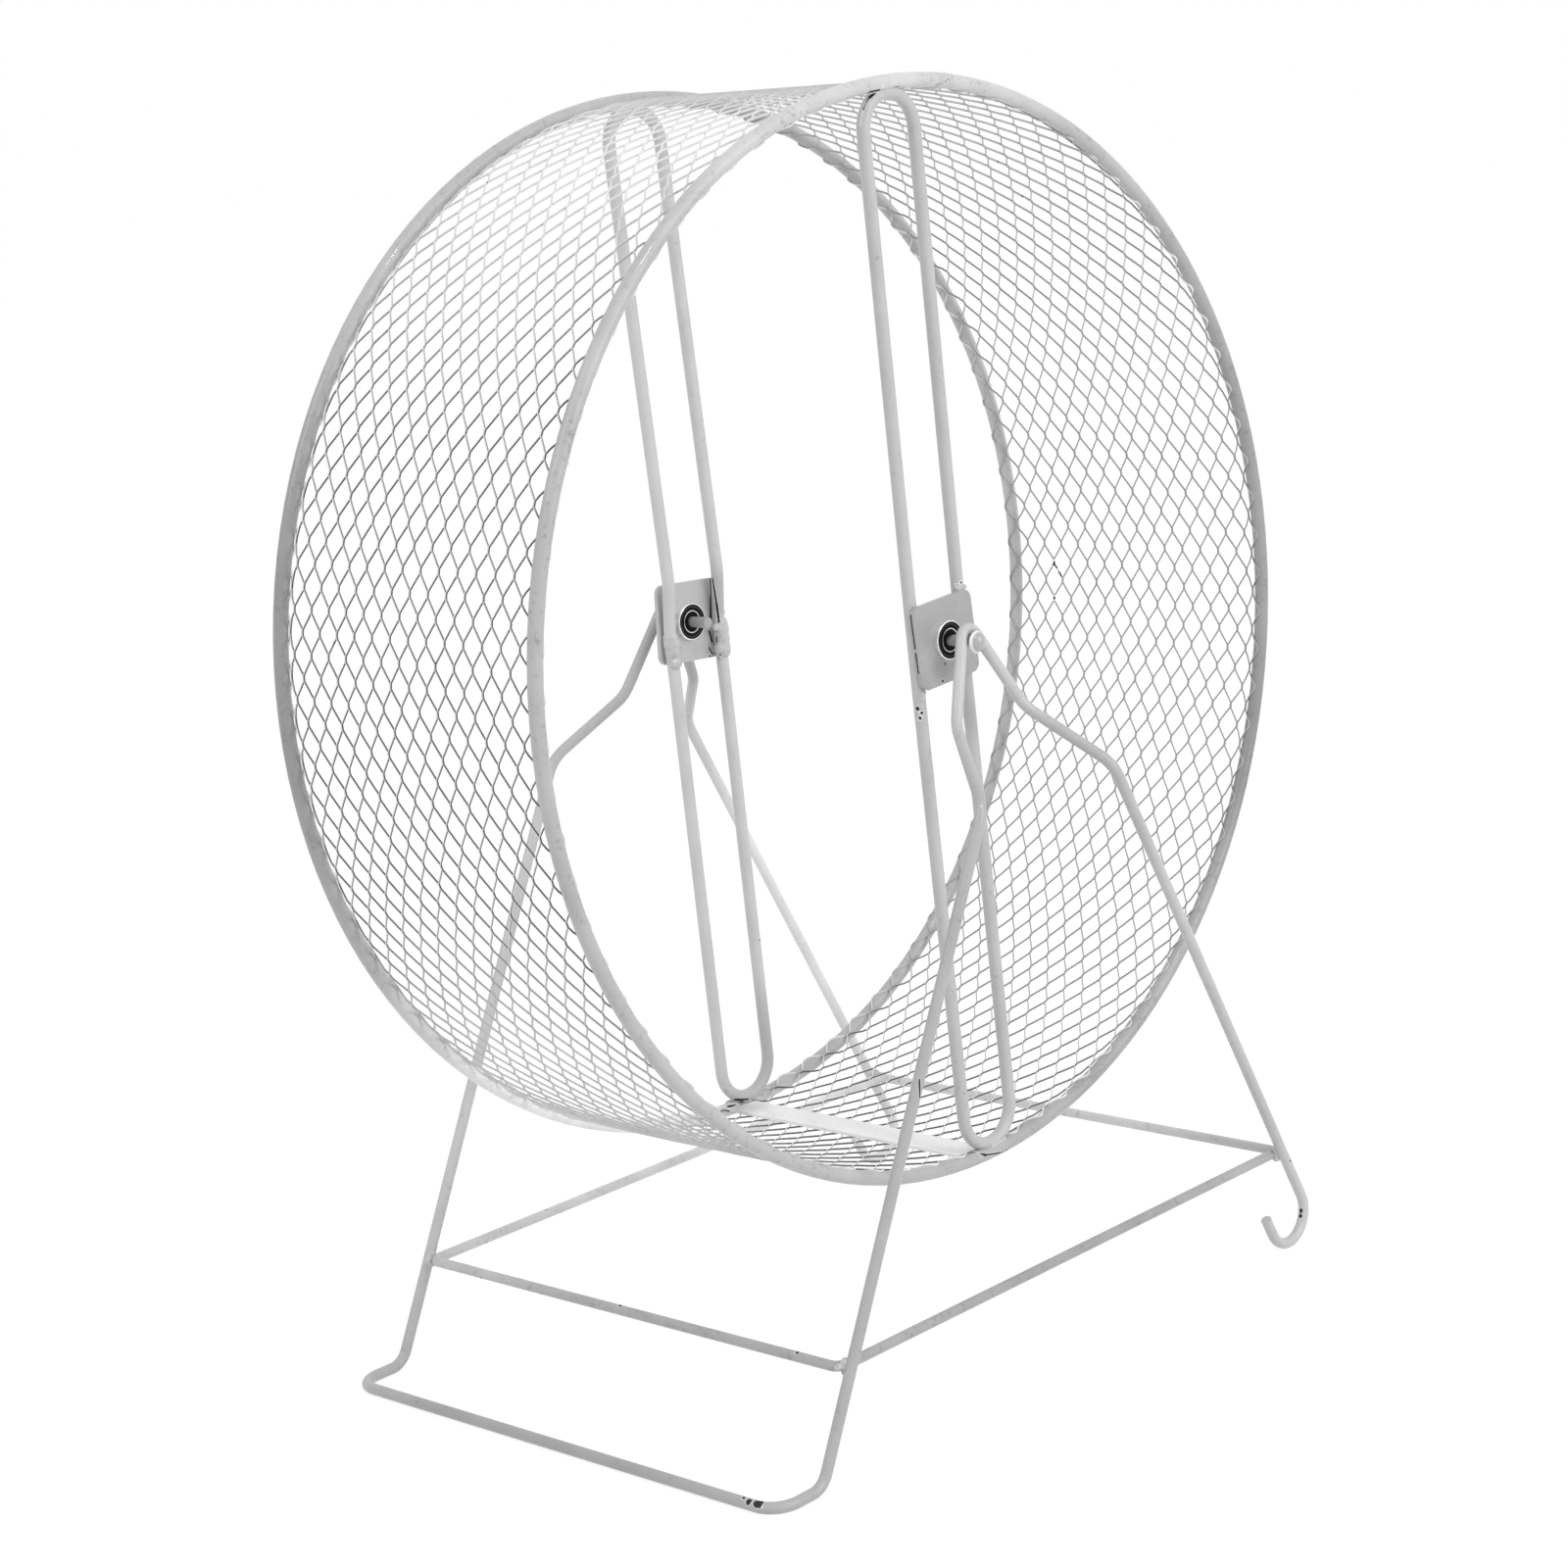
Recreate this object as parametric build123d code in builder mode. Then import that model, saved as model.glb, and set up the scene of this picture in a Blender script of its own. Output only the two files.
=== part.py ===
from build123d import *
from math import asin, atan2, cos, hypot, pi, radians, sin, sqrt, tan
import os

os.makedirs("parts", exist_ok=True)

# Exercise wheel of welded wire on a bent wire stand. Millimetres, +Z up.
# The axle runs along Y, the front of the wheel faces -Y, the foot bar lies on -X
# and the two hooks on +X. The origin is on the ground under the middle of the axle.

# Wheel
ring_diameter = 276.0  # centre line of the hoop wire
ring_wire = 3.75
ring_spacing = 90.6  # between the planes of the two hoops
axle_height = 187.2
park_angle = 1.76  # how far the wheel has turned from upright, in degrees

# Expanded metal tread
tread_thickness = 1.0
tread_strand = 1.7
tread_end_gap = 0.03  # between the edge of the tread and the hoop wires
tread_cells_around = 35
tread_cells_across = 7

# Strip over the seam of the tread
seam_width = 9.5
seam_thickness = 0.8
seam_seat_gap = 0.02
seam_turn = 2.4  # from the lower end of the spoke loops, in degrees
seam_end_clearance = 0.6  # from the edges of the tread, so that the strip clears the spoke loops

# Spoke loops
loop_wire = 3.4
loop_width = 18.6  # between the centre lines of its two long runs
loop_inset = 1.3  # of the stretch that carries the plate, from the plane of the hoop
loop_end_inset = 0.65  # of its two ends
loop_press = 1.1  # how deep each end is pressed into the hoop wire by its weld
loop_end_straight = 0.2  # left between the two bends of an end
loop_seat_gap = 0.02
gentle_bend_radius = 200.0
plate_stretch = 12.0  # half the length of the stretch that carries the plate
kink_radius = 25.0
kink_foot = -2.0  # the rear loop turns away from its plate from here
kink_top = 12.0  # up to here
rear_kink = 1.9

# Hub plates
plate_width = 22.4
plate_height = 21.6
plate_thickness = 1.2
plate_corner = 2.5
plate_seat_gap = 0.02
front_plate_turn = 2.8  # each plate sits a little askew on its loop, in degrees
rear_plate_turn = 4.8

# Ball bearings, 3 x 10 x 4
bearing_bore = 3.0
bearing_outside = 10.0
bearing_thickness = 4.0
bearing_chamfer = 0.15
bearing_seat_gap = 0.01
ball_diameter = 1.588
ball_count = 7
race_play = 0.025
shoulder_height = 0.2  # of the race shoulders, above the bottom of the groove
cage_thickness = 0.8
cage_width = 2.1
cage_play = 0.05
shield_thickness = 0.25
shield_recess = 0.1
shield_seat = 0.4
shield_gap = 0.2
shield_play = 0.01

# Axle pins
pin_play = 0.01
pin_inner_reach = 38.3  # of the cut end from the middle of the axle
pin_head_diameter = 5.8
pin_head_height = 2.2
pin_head_gap = 0.45

# Stand wire
stand_wire_diameter = 3.0
hairpin_reach = 54.9  # of the hairpin from the middle of the axle
hairpin_clearance = 0.1
upper_bend_half_spread = 13.4
upper_bend_drop = 18.9  # below the axle
upper_bend_out = 4.9  # beyond the hairpin
lower_bend_half_spread = 26.0
lower_bend_drop = 35.3
leg_half_depth = 77.4
leg_angle = 27.0  # from upright, in degrees
bend_radius = 11.0
foot_reach = 118.5
foot_bend_radius = 6.0
foot_corner_radius = 7.0
hook_radius = 8.0
hook_tail = 6.0

# Base wire
base_wire_diameter = 2.7
base_height = 27.6
base_corner_radius = 3.0
base_overhang = 1.2  # of the end bars beyond the legs
base_seat_gap = 0.05
base_end_clearance = 0.1

# Worked out from the sizes above
ring_radius = ring_diameter / 2
wheel_axis = Axis((0, 0, axle_height), (0, 1, 0))
sides = (("front", -1), ("rear", 1))
lean = radians(park_angle)
across_wheel = Vector(cos(lean), 0, sin(lean))
up_wheel = Vector(-sin(lean), 0, cos(lean))


def on_wheel(y, lateral=0, up=0):
    """A point of the turned wheel."""
    return Vector(0, y, axle_height) + across_wheel * lateral + up_wheel * up


# Hoops, two rings of round wire
for side, sign in sides:
    with BuildPart() as ring:
        with BuildSketch(Plane.YZ):
            with Locations((sign * ring_spacing / 2, axle_height + ring_radius)):
                Circle(ring_wire / 2)
        revolve(axis=wheel_axis)
    ring.part.label = side + "_ring"
    export_step(ring.part, "parts/" + side + "_ring.step")

# Tread, a band of expanded metal whose cut edges meet the hoops on their inner sides
tread_half_width = ring_spacing / 2 - ring_wire / 2 - tread_end_gap
cell_length = 2 * pi * ring_radius / tread_cells_around
cell_width = 2 * tread_half_width / tread_cells_across
strand_angle = atan2(cell_width, cell_length)
opening_half_length = cell_length / 2 - tread_strand / 2 / sin(strand_angle)
opening_half_width = cell_width / 2 - tread_strand / 2 / cos(strand_angle)
opening_depth = tread_thickness + opening_half_length**2 / ring_radius
openings = []
for row in range(2 * tread_cells_across + 1):
    row_y = -tread_half_width + row * cell_width / 2
    for column in range(tread_cells_around):
        turn = (column + (row % 2) / 2) * 2 * pi / tread_cells_around + lean
        outward = Vector(-sin(turn), 0, cos(turn))
        spot = Vector(0, row_y, axle_height) + outward * ring_radius
        along = Vector(cos(turn), 0, sin(turn))
        with BuildPart(mode=Mode.PRIVATE) as opening:
            with BuildSketch(Plane(origin=spot, x_dir=along, z_dir=outward)):
                Polygon(
                    (opening_half_length, 0),
                    (0, opening_half_width),
                    (-opening_half_length, 0),
                    (0, -opening_half_width),
                )
            extrude(amount=opening_depth, both=True)
        openings.append(opening.part)

with BuildPart() as tread_mesh:
    with BuildSketch(Plane.XZ.offset(-tread_half_width)):
        with Locations((0, axle_height)):
            Circle(ring_radius + tread_thickness / 2)
            Circle(ring_radius - tread_thickness / 2, mode=Mode.SUBTRACT)
    extrude(amount=2 * tread_half_width)
    add(openings, mode=Mode.SUBTRACT)
tread_mesh.part.label = "tread_mesh"
export_step(tread_mesh.part, "parts/tread_mesh.step")

# Strip that covers the seam of the tread, flat on its inner face
seam_angle = lean - radians(seam_turn)
seam_down = Vector(sin(seam_angle), 0, -cos(seam_angle))
seam_bed = sqrt((ring_radius - tread_thickness / 2) ** 2 - (seam_width / 2) ** 2) - seam_seat_gap
with BuildPart() as tread_seam_strip:
    with BuildSketch(
        Plane(
            origin=Vector(0, 0, axle_height) + seam_down * seam_bed,
            x_dir=(0, 1, 0),
            z_dir=seam_down * -1,
        )
    ):
        Rectangle(2 * (tread_half_width - seam_end_clearance), seam_width)
    extrude(amount=seam_thickness)
tread_seam_strip.part.label = "tread_seam_strip"
export_step(tread_seam_strip.part, "parts/tread_seam_strip.step")

# Spoke loops, each one long loop of wire made of two halves, with a seat pressed into each end by the hoop
loop_reach = ring_radius - sqrt((ring_wire / 2 + loop_wire / 2 - loop_press) ** 2 - loop_end_inset**2)
loop_end_radius = (loop_width - loop_end_straight) / 2
loop_bends = {
    "front": (
        (-plate_stretch, loop_inset, gentle_bend_radius),
        (plate_stretch, loop_inset, gentle_bend_radius),
    ),
    "rear": (
        (-plate_stretch, loop_inset, gentle_bend_radius),
        (kink_foot, loop_inset, kink_radius),
        (kink_top, loop_inset + rear_kink, kink_radius),
    ),
}
for side, sign in sides:
    end_y = sign * (ring_spacing / 2 - loop_end_inset)
    with BuildPart() as spoke_loop:
        for lateral in (loop_width / 2, -loop_width / 2):
            bends = [
                on_wheel(sign * (ring_spacing / 2 - inset), lateral, up)
                for up, inset, bend in loop_bends[side]
            ]
            bend_radii = [bend for up, inset, bend in loop_bends[side]]
            with BuildLine() as half_route:
                FilletPolyline(
                    on_wheel(end_y, 0, -loop_reach),
                    on_wheel(end_y, lateral, -loop_reach),
                    *bends,
                    on_wheel(end_y, lateral, loop_reach),
                    on_wheel(end_y, 0, loop_reach),
                    radius=[loop_end_radius, *bend_radii, loop_end_radius],
                )
            with BuildSketch(Plane(origin=half_route.line @ 0, z_dir=half_route.line % 0)):
                Circle(loop_wire / 2)
            sweep(path=half_route.line)
        with BuildSketch(Plane.YZ):
            with Locations((sign * ring_spacing / 2, axle_height + ring_radius)):
                Circle(ring_wire / 2 + loop_seat_gap)
        revolve(axis=wheel_axis, mode=Mode.SUBTRACT)
    spoke_loop.part.label = side + "_spoke_loop"
    export_step(spoke_loop.part, "parts/" + side + "_spoke_loop.step")

# Hub plates, on the outer side of the loops, each with a seat for a bearing
plate_inner_y = ring_spacing / 2 - loop_inset + loop_wire / 2 + plate_seat_gap
for (side, sign), plate_turn in zip(sides, (front_plate_turn, rear_plate_turn)):
    with BuildPart() as hub_plate:
        with BuildSketch(
            Plane(origin=on_wheel(sign * plate_inner_y), x_dir=across_wheel, z_dir=(0, sign, 0))
        ):
            RectangleRounded(plate_width, plate_height, plate_corner, rotation=plate_turn)
            Circle(bearing_outside / 2 + bearing_seat_gap, mode=Mode.SUBTRACT)
        extrude(amount=plate_thickness)
    hub_plate.part.label = side + "_hub_plate"
    export_step(hub_plate.part, "parts/" + side + "_hub_plate.step")

# Bearings, drawn as half sections beside the axle and turned about it
bearing_y = plate_inner_y + plate_thickness / 2
pitch_radius = (bearing_bore + bearing_outside) / 4
ball_radius = ball_diameter / 2
race_radius = ball_radius + race_play
inner_land = pitch_radius - ball_radius + shoulder_height
outer_land = pitch_radius + ball_radius - shoulder_height
shield_outer = outer_land + shield_seat
shield_inner = inner_land + shield_gap
shield_middle = bearing_thickness / 2 - shield_recess - shield_thickness / 2
for side, sign in sides:
    centre = Vector(0, sign * bearing_y, axle_height)
    section = Plane(origin=centre, x_dir=(0, 1, 0), z_dir=(1, 0, 0))

    with BuildPart() as outer_ring:
        with BuildSketch(section):
            with Locations((0, (outer_land + bearing_outside / 2) / 2)):
                Rectangle(bearing_thickness, bearing_outside / 2 - outer_land)
            rim = vertices().group_by(Axis.Z)[-1]
            chamfer(rim, length=bearing_chamfer)
            with Locations((0, pitch_radius)):
                Circle(race_radius, mode=Mode.SUBTRACT)
            with GridLocations(bearing_thickness, 2 * shield_outer, 2, 2):
                Rectangle(
                    2 * (shield_recess + shield_thickness),
                    2 * (shield_outer - outer_land),
                    mode=Mode.SUBTRACT,
                )
        revolve(axis=wheel_axis)
    outer_ring.part.label = side + "_bearing_outer_ring"
    export_step(outer_ring.part, "parts/" + side + "_bearing_outer_ring.step")

    with BuildPart() as inner_ring:
        with BuildSketch(section):
            with Locations((0, (inner_land + bearing_bore / 2) / 2)):
                Rectangle(bearing_thickness, inner_land - bearing_bore / 2)
            bore_corners = vertices().group_by(Axis.Z)[0]
            chamfer(bore_corners, length=bearing_chamfer)
            with Locations((0, pitch_radius)):
                Circle(race_radius, mode=Mode.SUBTRACT)
        revolve(axis=wheel_axis)
    inner_ring.part.label = side + "_bearing_inner_ring"
    export_step(inner_ring.part, "parts/" + side + "_bearing_inner_ring.step")

    ball_ring = Plane(origin=centre, x_dir=(1, 0, 0), z_dir=(0, -1, 0))
    with BuildPart(ball_ring) as balls:
        with PolarLocations(pitch_radius, ball_count):
            Sphere(ball_radius)
    balls.part.label = side + "_bearing_balls"
    export_step(balls.part, "parts/" + side + "_bearing_balls.step")

    with BuildPart(ball_ring) as cage:
        with BuildSketch(ball_ring.offset(-cage_width / 2)):
            Circle(pitch_radius + cage_thickness / 2)
            Circle(pitch_radius - cage_thickness / 2, mode=Mode.SUBTRACT)
        extrude(amount=cage_width)
        with PolarLocations(pitch_radius, ball_count):
            Cylinder(
                ball_radius + cage_play,
                2 * cage_thickness,
                rotation=(0, 90, 0),
                mode=Mode.SUBTRACT,
            )
    cage.part.label = side + "_bearing_cage"
    export_step(cage.part, "parts/" + side + "_bearing_cage.step")

    for face, way in (("outer", sign), ("inner", -sign)):
        with BuildPart() as shield:
            with BuildSketch(section):
                with Locations((way * shield_middle, (shield_outer - shield_play + shield_inner) / 2)):
                    Rectangle(shield_thickness, shield_outer - shield_play - shield_inner)
            revolve(axis=wheel_axis)
        shield.part.label = side + "_bearing_" + face + "_shield"
        export_step(shield.part, "parts/" + side + "_bearing_" + face + "_shield.step")

# Stand wire, one wire bent from hook to hook
stand_radius = stand_wire_diameter / 2
pin_radius = bearing_bore / 2 - pin_play
hairpin_lean = atan2(upper_bend_out, upper_bend_drop)
hairpin_radius = (pin_radius + stand_radius + hairpin_clearance) / cos(hairpin_lean)
upper_bend_fall = hypot(upper_bend_out, upper_bend_drop)
upper_bend_distance = hypot(upper_bend_half_spread, upper_bend_fall)
hairpin_half_angle = atan2(upper_bend_half_spread, upper_bend_fall) - asin(
    hairpin_radius / upper_bend_distance
)
apex_rise = hairpin_radius / sin(hairpin_half_angle)
leg_slope = tan(radians(leg_angle))
hook_start_z = stand_radius + hook_radius + hook_radius * sin(radians(leg_angle))


def leg_x(z):
    """Distance of a leg from the middle of the stand at a height."""
    return lower_bend_half_spread + (axle_height - lower_bend_drop - z) * leg_slope


def side_frame(sign):
    """Bend points of one side, from its hook to its foot."""
    depth = sign * leg_half_depth
    upper_y = sign * (hairpin_reach + upper_bend_out)
    upper_z = axle_height - upper_bend_drop
    lower_z = axle_height - lower_bend_drop
    return [
        (leg_x(hook_start_z), depth, hook_start_z),
        (lower_bend_half_spread, depth, lower_z),
        (upper_bend_half_spread, upper_y, upper_z),
        (
            0,
            sign * (hairpin_reach - apex_rise * sin(hairpin_lean)),
            axle_height + apex_rise * cos(hairpin_lean),
        ),
        (-upper_bend_half_spread, upper_y, upper_z),
        (-lower_bend_half_spread, depth, lower_z),
        (-leg_x(stand_radius), depth, stand_radius),
        (-foot_reach, depth, stand_radius),
    ]


side_radii = [
    bend_radius,
    bend_radius,
    hairpin_radius,
    bend_radius,
    bend_radius,
    foot_bend_radius,
    foot_corner_radius,
]
stand_points = side_frame(-1) + side_frame(1)[::-1]
stand_radii = side_radii + side_radii[::-1]
leg_down = Vector(sin(radians(leg_angle)), 0, -cos(radians(leg_angle)))
hook_inward = Vector(-cos(radians(leg_angle)), 0, -sin(radians(leg_angle)))

with BuildPart() as stand_wire:
    with BuildLine() as stand_route:
        FilletPolyline(*stand_points, radius=stand_radii)
    with BuildSketch(Plane(origin=stand_route.line @ 0, z_dir=stand_route.line % 0)):
        Circle(stand_radius)
    sweep()
    for side, sign in sides:
        hook_start = Vector(leg_x(hook_start_z), sign * leg_half_depth, hook_start_z)
        hook_middle = hook_start + hook_inward * hook_radius
        tail_start = hook_middle + hook_inward * hook_radius
        with BuildSketch(Plane(origin=hook_start, z_dir=leg_down)):
            Circle(stand_radius)
        revolve(axis=Axis(hook_middle, (0, 1, 0)), revolution_arc=180)
        with BuildSketch(Plane(origin=tail_start, z_dir=leg_down * -1)):
            Circle(stand_radius)
        extrude(amount=hook_tail)
stand_wire.part.label = "stand_wire"
export_step(stand_wire.part, "parts/stand_wire.step")

# Base wire, a rectangle open at one corner, inside the legs and touching them
base_radius = base_wire_diameter / 2
base_leg_x = leg_x(base_height)
base_x = base_leg_x + base_overhang
touch = base_radius + stand_radius + base_seat_gap
base_y = leg_half_depth - sqrt(
    (base_corner_radius + touch) ** 2 - (base_corner_radius - base_overhang) ** 2
) + base_corner_radius
front_bar_end = base_leg_x - stand_radius / cos(radians(leg_angle)) - base_end_clearance
with BuildPart() as base_wire:
    with BuildLine() as base_route:
        FilletPolyline(
            (base_x, -base_y + base_radius + base_end_clearance, base_height),
            (base_x, base_y, base_height),
            (-base_x, base_y, base_height),
            (-base_x, -base_y, base_height),
            (front_bar_end, -base_y, base_height),
            radius=base_corner_radius,
        )
    with BuildSketch(Plane(origin=base_route.line @ 0, z_dir=base_route.line % 0)):
        Circle(base_radius)
    sweep()
base_wire.part.label = "base_wire"
export_step(base_wire.part, "parts/base_wire.step")

# Axle pins, riveted through the hairpins, with the bearings on their shanks
head_seat_y = hairpin_reach + stand_radius + pin_head_gap
head_radius = pin_head_diameter / 2
dome_radius = (head_radius**2 + pin_head_height**2) / (2 * pin_head_height)
dome_centre_y = head_seat_y + pin_head_height - dome_radius
dome_half_turn = atan2(head_radius, dome_radius - pin_head_height) / 2
for side, sign in sides:
    with BuildPart() as axle_pin:
        with BuildSketch(Plane(origin=(0, sign * pin_inner_reach, axle_height), z_dir=(0, sign, 0))):
            Circle(pin_radius)
        extrude(amount=head_seat_y - pin_inner_reach)
        with BuildSketch(Plane.YZ):
            with BuildLine():
                seat_middle = (sign * head_seat_y, axle_height)
                seat_rim = (sign * head_seat_y, axle_height + head_radius)
                shoulder = (
                    sign * (dome_centre_y + dome_radius * cos(dome_half_turn)),
                    axle_height + dome_radius * sin(dome_half_turn),
                )
                crown = (sign * (head_seat_y + pin_head_height), axle_height)
                Line(seat_middle, seat_rim)
                ThreePointArc(seat_rim, shoulder, crown)
                Line(crown, seat_middle)
            make_face()
        revolve(axis=wheel_axis)
    axle_pin.part.label = side + "_axle_pin"
    export_step(axle_pin.part, "parts/" + side + "_axle_pin.step")
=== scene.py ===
import math

import bmesh
import bpy
from mathutils import Matrix, Vector, noise


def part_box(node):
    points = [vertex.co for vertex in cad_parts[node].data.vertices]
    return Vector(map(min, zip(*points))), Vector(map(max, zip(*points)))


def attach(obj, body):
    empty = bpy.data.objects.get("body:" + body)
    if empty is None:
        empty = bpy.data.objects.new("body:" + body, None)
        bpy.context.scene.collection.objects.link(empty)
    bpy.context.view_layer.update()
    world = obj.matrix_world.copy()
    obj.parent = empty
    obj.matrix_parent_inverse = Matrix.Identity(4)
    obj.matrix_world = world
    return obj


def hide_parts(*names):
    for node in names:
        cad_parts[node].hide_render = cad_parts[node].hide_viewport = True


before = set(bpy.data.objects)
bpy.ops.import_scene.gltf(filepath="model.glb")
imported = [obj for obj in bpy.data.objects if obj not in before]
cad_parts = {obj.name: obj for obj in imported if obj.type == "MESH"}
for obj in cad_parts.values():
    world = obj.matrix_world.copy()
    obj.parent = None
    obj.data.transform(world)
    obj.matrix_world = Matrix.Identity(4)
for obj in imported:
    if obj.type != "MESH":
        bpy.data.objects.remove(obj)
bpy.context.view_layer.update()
mm = 0.001

# Measures read from the frame, so that every added piece sits on what carries it
hoopLow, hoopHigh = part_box("front_ring")
backLow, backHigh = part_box("rear_ring")
wheel = {
    "axleHeight": (hoopLow.z + hoopHigh.z) / 2,
    "hoopWire": (hoopHigh.y - hoopLow.y) / 2,
    "hoopDepth": (backLow.y + backHigh.y) / 2,
    "turn": math.radians(1.76),  # how far it has rolled from upright
}
wheel["hoopRadius"] = (hoopHigh.z - hoopLow.z) / 2 - wheel["hoopWire"]


def onWheel(sideways, depth, up):  # a point of the rolled wheel, given in millimetres
    turn = wheel["turn"]
    return Vector((
        (sideways * math.cos(turn) - up * math.sin(turn)) * mm,
        depth * mm,
        wheel["axleHeight"] + (sideways * math.sin(turn) + up * math.cos(turn)) * mm,
    ))


def onStand(x, y, z):  # a point of the stand, given in millimetres
    return Vector((x * mm, y * mm, z * mm))


print("frame read: hoop radius", round(wheel["hoopRadius"] / mm, 2), "mm")


# Camera, at the photograph's place and angle
photoCamera = {
    "place": (-0.63278, -0.60894, 0.33281),
    "heading": 47.87,  # degrees from +Y towards +X
    "dip": -14.42,
    "roll": -4.61,
    "focalLength": 3448.9,  # in pixels of the square picture, as is the centre
    "centre": (957.7, 935.4),
    "picture": 1600,
    "sensor": 36.0,
}


def makeCamera(s):
    data = bpy.data.cameras.new("photoCamera")
    data.sensor_width = s["sensor"]
    data.lens = s["focalLength"] / s["picture"] * s["sensor"]
    data.shift_x = 0.5 - s["centre"][0] / s["picture"]
    data.shift_y = s["centre"][1] / s["picture"] - 0.5
    data.clip_start, data.clip_end = 0.01, 50
    heading, dip, roll = (math.radians(s[key]) for key in ("heading", "dip", "roll"))
    ahead = Vector((math.sin(heading) * math.cos(dip), math.cos(heading) * math.cos(dip), math.sin(dip)))
    level = Vector((math.cos(heading), -math.sin(heading), 0))
    over = level.cross(ahead)
    right = level * math.cos(roll) + over * math.sin(roll)
    above = over * math.cos(roll) - level * math.sin(roll)
    camera = bpy.data.objects.new("photoCamera", data)
    camera.matrix_world = Matrix.Translation(s["place"]) @ Matrix((right, above, -ahead)).transposed().to_4x4()
    bpy.context.collection.objects.link(camera)
    bpy.context.scene.camera = camera


makeCamera(photoCamera)


# Node trees, for the finishes and for the geometry alike
class Signal:  # one socket, so that sums in a tree read as sums
    def __init__(self, nodes, socket):
        self.nodes, self.socket = nodes, socket

    def sum(self, operation, first, second=0.0):
        return self.nodes.add("ShaderNodeMath", {"operation": operation}, {0: first, 1: second})

    def output(self, name):
        return Signal(self.nodes, self.socket.node.outputs[name])

    def __add__(self, other):
        return self.sum("ADD", self, other)

    def __radd__(self, other):
        return self.sum("ADD", other, self)

    def __sub__(self, other):
        return self.sum("SUBTRACT", self, other)

    def __rsub__(self, other):
        return self.sum("SUBTRACT", other, self)

    def __mul__(self, other):
        return self.sum("MULTIPLY", self, other)

    def __rmul__(self, other):
        return self.sum("MULTIPLY", other, self)

    def __truediv__(self, other):
        return self.sum("DIVIDE", self, other)

    def __rtruediv__(self, other):
        return self.sum("DIVIDE", other, self)

    def __abs__(self):
        return self.sum("ABSOLUTE", self)

    def least(self, other):
        return self.sum("MINIMUM", self, other)

    def most(self, other):
        return self.sum("MAXIMUM", self, other)

    def clip(self):
        return self.least(1.0).most(0.0)

    def sine(self):
        return self.sum("SINE", self)

    def cosine(self):
        return self.sum("COSINE", self)


class Nodes:  # adds nodes to one tree
    def __init__(self, tree):
        self.tree = tree

    def add(self, kind, settings=None, values=None, output=0):
        node = self.tree.nodes.new(kind)
        for key, value in (settings or {}).items():
            if key == "stops":
                stops = node.color_ramp.elements
                stops[0].position, stops[1].position = value[0][0], value[-1][0]
                for place, level in value[1:-1]:
                    stops.new(place)
                for stop, (place, level) in zip(stops, value):
                    stop.color = (level, level, level, 1)
            else:
                setattr(node, key, value)
        for key, value in (values or {}).items():
            if isinstance(value, Signal):
                self.tree.links.new(value.socket, node.inputs[key])
            else:
                node.inputs[key].default_value = value
        return Signal(self, node.outputs[output]) if node.outputs else node

    def vector(self, operation, first, second=(0, 0, 0), output=0):
        return self.add("ShaderNodeVectorMath", {"operation": operation}, {0: first, 1: second}, output)

    def blend(self, first, second, factor):  # two colours
        return self.add("ShaderNodeMix", {"data_type": "RGBA"}, {0: factor, 6: first, 7: second}, 2)

    def away(self, point, start, end):  # distance from a stretch between two places
        if start == end:
            return self.vector("DISTANCE", point, start, 1)
        reach = end - start
        offset = self.vector("SUBTRACT", point, start)
        share = (self.vector("DOT_PRODUCT", offset, reach, 1) / reach.length_squared).clip()
        along = self.add("ShaderNodeVectorMath", {"operation": "SCALE"}, {0: reach, "Scale": share})
        return self.vector("DISTANCE", offset, along, 1)

    def cloud(self, point, size, detail=2.0, shift=0.0):  # smooth noise with features of a size in metres
        return self.add(
            "ShaderNodeTexNoise", {"noise_dimensions": "4D"},
            {"Vector": point, "W": shift, "Scale": 1 / size, "Detail": detail},
        )


def grey(value):
    return (value, value, value, 1)


def fromAxle(nodes, point):  # a point's place beside the wheel's centre, and its distance from the axle
    place = nodes.add("ShaderNodeSeparateXYZ", values={
        0: nodes.vector("SUBTRACT", point, (0, 0, wheel["axleHeight"])),
    })
    flat = nodes.add("ShaderNodeCombineXYZ", values={0: place, 2: place.output("Z")})
    return place, nodes.vector("LENGTH", flat, output=1)


# Finish of the coated wire: a thin, slightly uneven powder coat over steel, worn and chipped in places, with
# painted light and shade in stretches and painted shadow in the gaps between parts
coat = {
    "driftSize": 14 * mm, "driftHeight": 0.05 * mm,  # slow unevenness
    "fleckSize": 1.6 * mm,  # specks of grime
    "raggedSize": 0.9 * mm,  # how finely the edges of chips and crevices are torn
    "shadowSeamRagged": 0.7, "chipRagged": 1.3,  # as shares of their size
    "shadowSeamEdge": 0.08 * mm, "chipEdge": 0.12 * mm,
    "shadowSeamHighlight": 1.35, "chipRim": 1.5,  # a painted highlight beside the painted shadow seams, and the paler coat beside chips, as shares of the tone
    "shadowSeamHighlightReach": 1.6, "chipRimReach": 2.2,  # in chip edges
    "pitSpacing": 6.5 * mm, "pitRadius": 0.055, "pitShare": 0.22,
    # bare steel of chips and pits; the painted shadow lines use the same dark colour
    "steel": (0.016, 0.015, 0.014, 1), "bareOrShadowDepth": 0.14 * mm, "bareOrShadowRoughness": 0.3,
    "flankFrom": 0.35,  # how far a face turns sideways before it counts as a flank
    # how far a face turns down before it gets the painted underside shade
    "undersideShadeFrom": 0.9,
    "lapWidth": 2.4 * mm, "lapFade": 0.8 * mm,
    "gloss": 0.28,
}


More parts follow.
